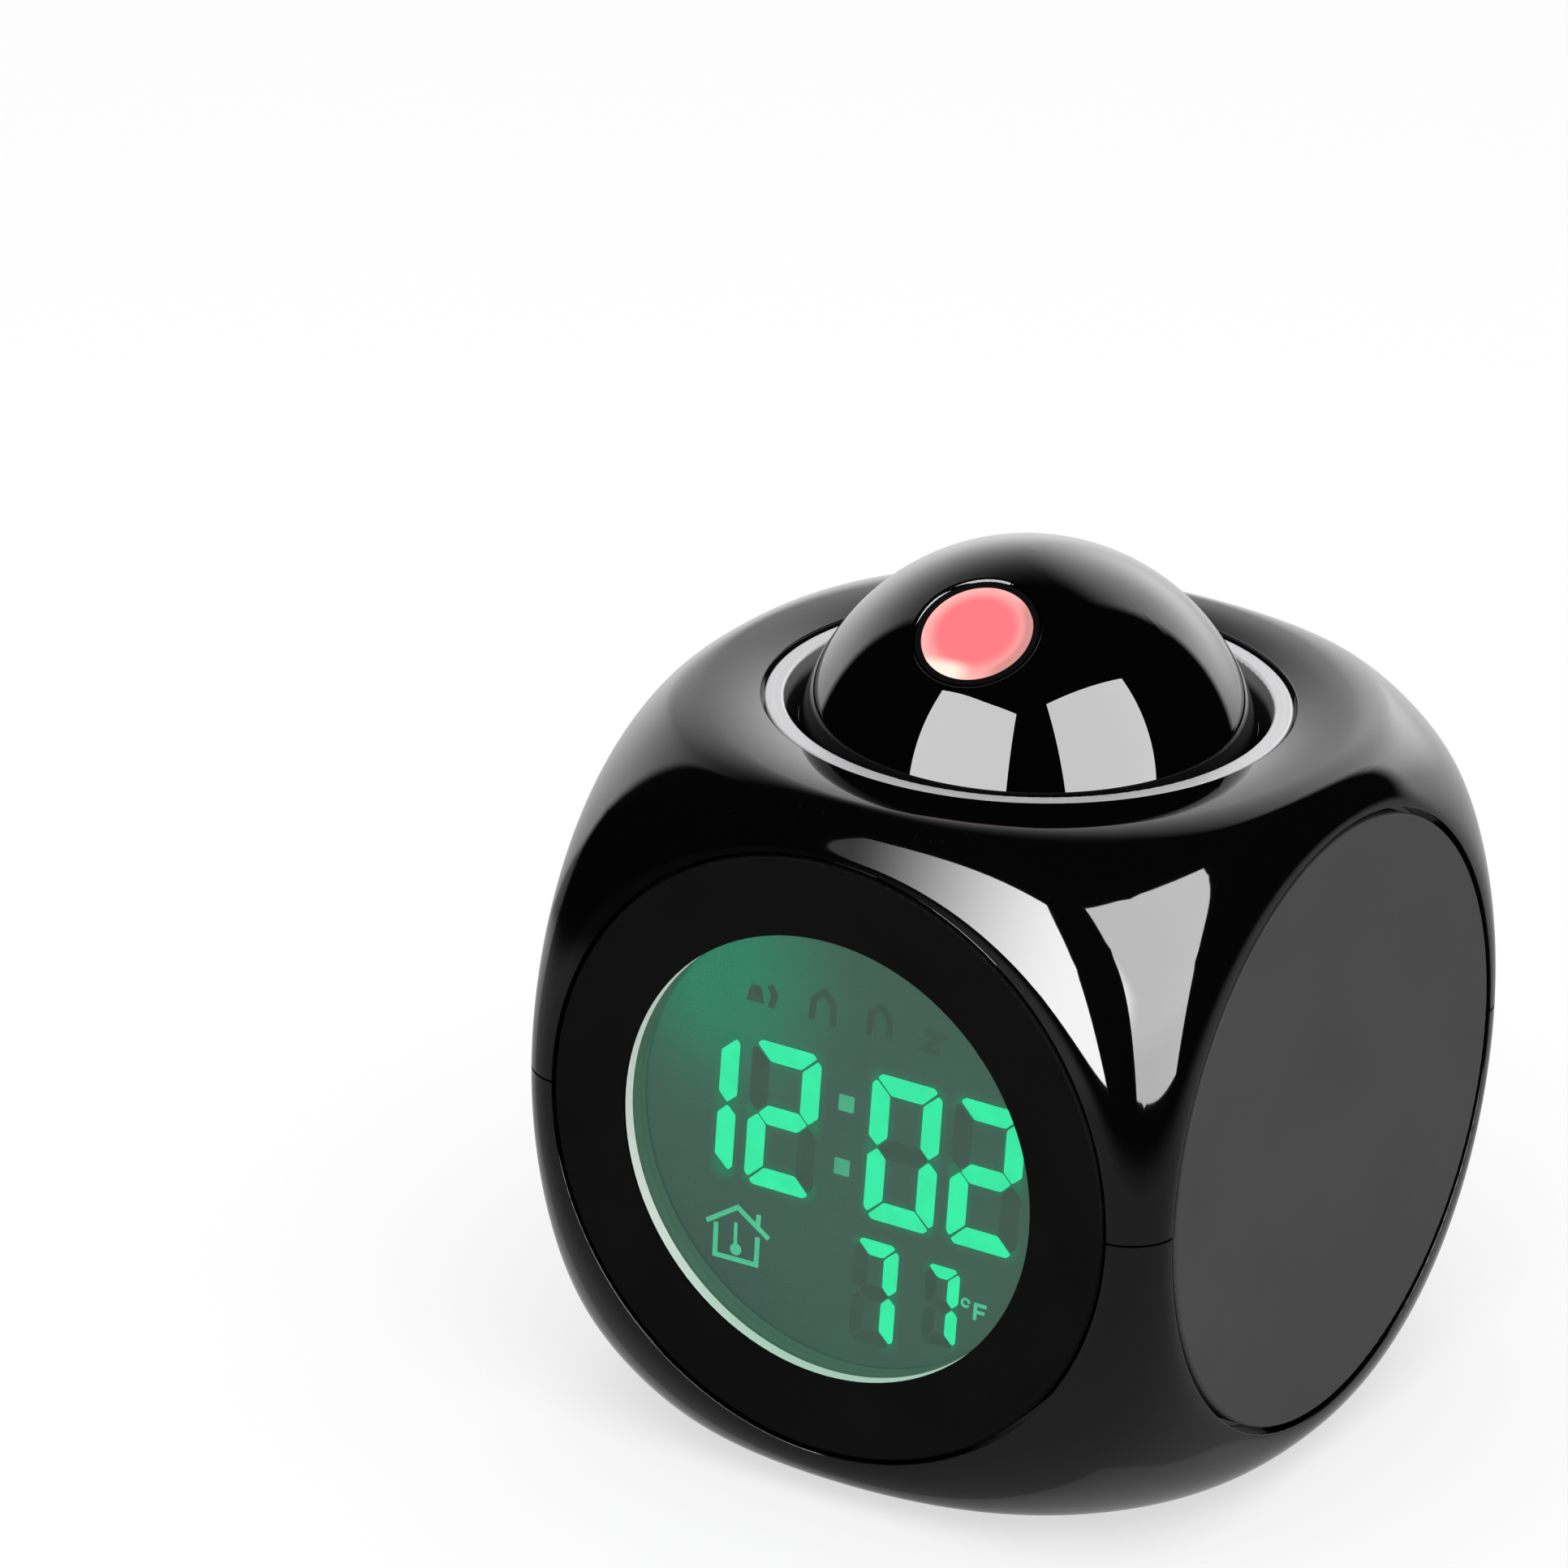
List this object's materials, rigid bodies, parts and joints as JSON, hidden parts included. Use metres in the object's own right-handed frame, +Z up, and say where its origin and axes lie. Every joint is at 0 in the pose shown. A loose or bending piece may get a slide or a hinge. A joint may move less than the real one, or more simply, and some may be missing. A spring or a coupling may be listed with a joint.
{
  "type": "projection alarm clock",
  "caption": "Rounded cube projection alarm clock with a round display, blank side discs, rear keys, and a press-and-turn projector dome in a bright ring.",
  "frame": {"origin": "on the resting plane under the four feet, below the middle of the case", "axes": "+Z up, front with the display towards -Y, keys towards +Y, +X to the right seen from the front"},
  "size_m": [0.08, 0.08, 0.0981],
  "materials": {
    "backlight": "light guide",
    "basket_steel": "black pressed steel",
    "bezel_matte": "fine matte black face",
    "board_green": "solder mask over glass fibre",
    "case_gloss": "high gloss black moulded shell",
    "cell_label": "plain printed cell jacket",
    "component_black": "moulded chips and cans",
    "condenser_glass": "clear moulded lens",
    "cone_paper": "pulp cone",
    "display_frame": "dark green moulding",
    "display_glass": "liquid crystal glass with a green backlight behind it",
    "dome_gloss": "high gloss black dome",
    "door_gloss": "gloss black door",
    "film_glass": "small time display that the lens projects",
    "foot_rubber": "soft rubber foot",
    "inner_black": "black moulded inner piece",
    "key_black": "gloss black key",
    "knob_black": "ribbed slide knob",
    "lead_grey": "lead insulation",
    "lead_red": "lead insulation",
    "led_red": "red lamp",
    "lens_glass": "projection lens lit red from behind",
    "magnet_dark": "ferrite magnet in a cup",
    "plate_nickel": "nickel plated contacts",
    "rear_matte": "fine matte dark grey panel",
    "ring_silver": "bright plated ring",
    "screw_steel": "zinc plated steel",
    "sensor_bead": "lacquered bead",
    "side_matte": "fine matte dark grey disc",
    "spring_steel": "spring wire",
    "surround_pale": "pale moulded ring",
    "switch_metal": "switch cover",
    "washer_white": "slippery white washer",
    "window_clear": "clear acrylic window",
    "zebra_rubber": "striped contact rubber"
  },
  "bodies": {
    "case": {"aaa_cells": "cell_label", "backlight_panel": "backlight", "battery_leads": "lead_red", "battery_plates": "plate_nickel", "battery_springs": "spring_steel", "board_cable": "lead_grey", "board_components": "component_black", "bracket_screws": "screw_steel", "case_screws": "screw_steel", "clock_board": "board_green", "display_screws": "screw_steel", "display_surround": "surround_pale", "display_window": "window_clear", "dome_bracket": "inner_black", "front_bezel": "bezel_matte", "key_board": "board_green", "key_board_screws": "screw_steel", "key_switches": "switch_metal", "lcd_frame": "display_frame", "lcd_glass": "display_glass", "left_side_plate": "side_matte", "lower_shell": "case_gloss", "projection_switch_body": "switch_metal", "projector_lead": "lead_grey", "rear_panel": "rear_matte", "return_spring": "spring_steel", "right_side_plate": "side_matte", "rubber_feet": "foot_rubber", "speaker_basket": "basket_steel", "speaker_cone": "cone_paper", "speaker_leads": "lead_grey", "speaker_magnet": "magnet_dark", "talk_switch": "switch_metal", "temperature_sensor": "sensor_bead", "trim_ring": "ring_silver", "upper_shell": "case_gloss", "zebra_connector": "zebra_rubber"},
    "dome_carrier": {"dome_carrier": "inner_black", "pivot_washer": "washer_white"},
    "dome": {"dome_cap": "dome_gloss", "dome_base": "dome_gloss", "lens_barrel": "inner_black", "projection_lens": "lens_glass", "condenser_lens": "condenser_glass", "projector_film": "film_glass", "projector_led": "led_red", "projector_board": "board_green", "pivot_screw": "screw_steel"},
    "mode_key": {"mode_key": "key_black"},
    "hour_key": {"hour_key": "key_black"},
    "minute_key": {"minute_key": "key_black"},
    "alarm_key": {"alarm_key": "key_black"},
    "projection_switch": {"projection_switch_knob": "knob_black"},
    "battery_door": {"battery_door": "door_gloss"}
  },
  "joints": [
    {"name": "dome_press", "type": "slide", "parent": "case", "child": "dome_carrier", "axis": [0, 0, -1], "range_m": [0, 0.0015], "stiffness_N_per_m": 600, "springref_m": -0.002, "deforming": ["return_spring"]},
    {"name": "dome_turn", "type": "hinge", "parent": "dome_carrier", "child": "dome", "pos_m": [0, 0, 0.066], "axis": [0, 0, 1], "range_deg": [-90, 90]},
    {"name": "mode_key_press", "type": "slide", "parent": "case", "child": "mode_key", "axis": [0, -1, 0], "range_m": [0, 0.0008], "stiffness_N_per_m": 400, "springref_m": -0.0012},
    {"name": "hour_key_press", "type": "slide", "parent": "case", "child": "hour_key", "axis": [0, -1, 0], "range_m": [0, 0.0008], "stiffness_N_per_m": 400, "springref_m": -0.0012},
    {"name": "minute_key_press", "type": "slide", "parent": "case", "child": "minute_key", "axis": [0, -1, 0], "range_m": [0, 0.0008], "stiffness_N_per_m": 400, "springref_m": -0.0012},
    {"name": "alarm_key_press", "type": "slide", "parent": "case", "child": "alarm_key", "axis": [0, -1, 0], "range_m": [0, 0.0008], "stiffness_N_per_m": 400, "springref_m": -0.0012},
    {"name": "projection_switch_slide", "type": "slide", "parent": "case", "child": "projection_switch", "axis": [1, 0, 0], "range_m": [0, 0.003]},
    {"name": "battery_door_swing", "type": "hinge", "parent": "case", "child": "battery_door", "pos_m": [-0.02595, 0, 0.001], "axis": [0, 1, 0], "range_deg": [0, 65]}
  ]
}
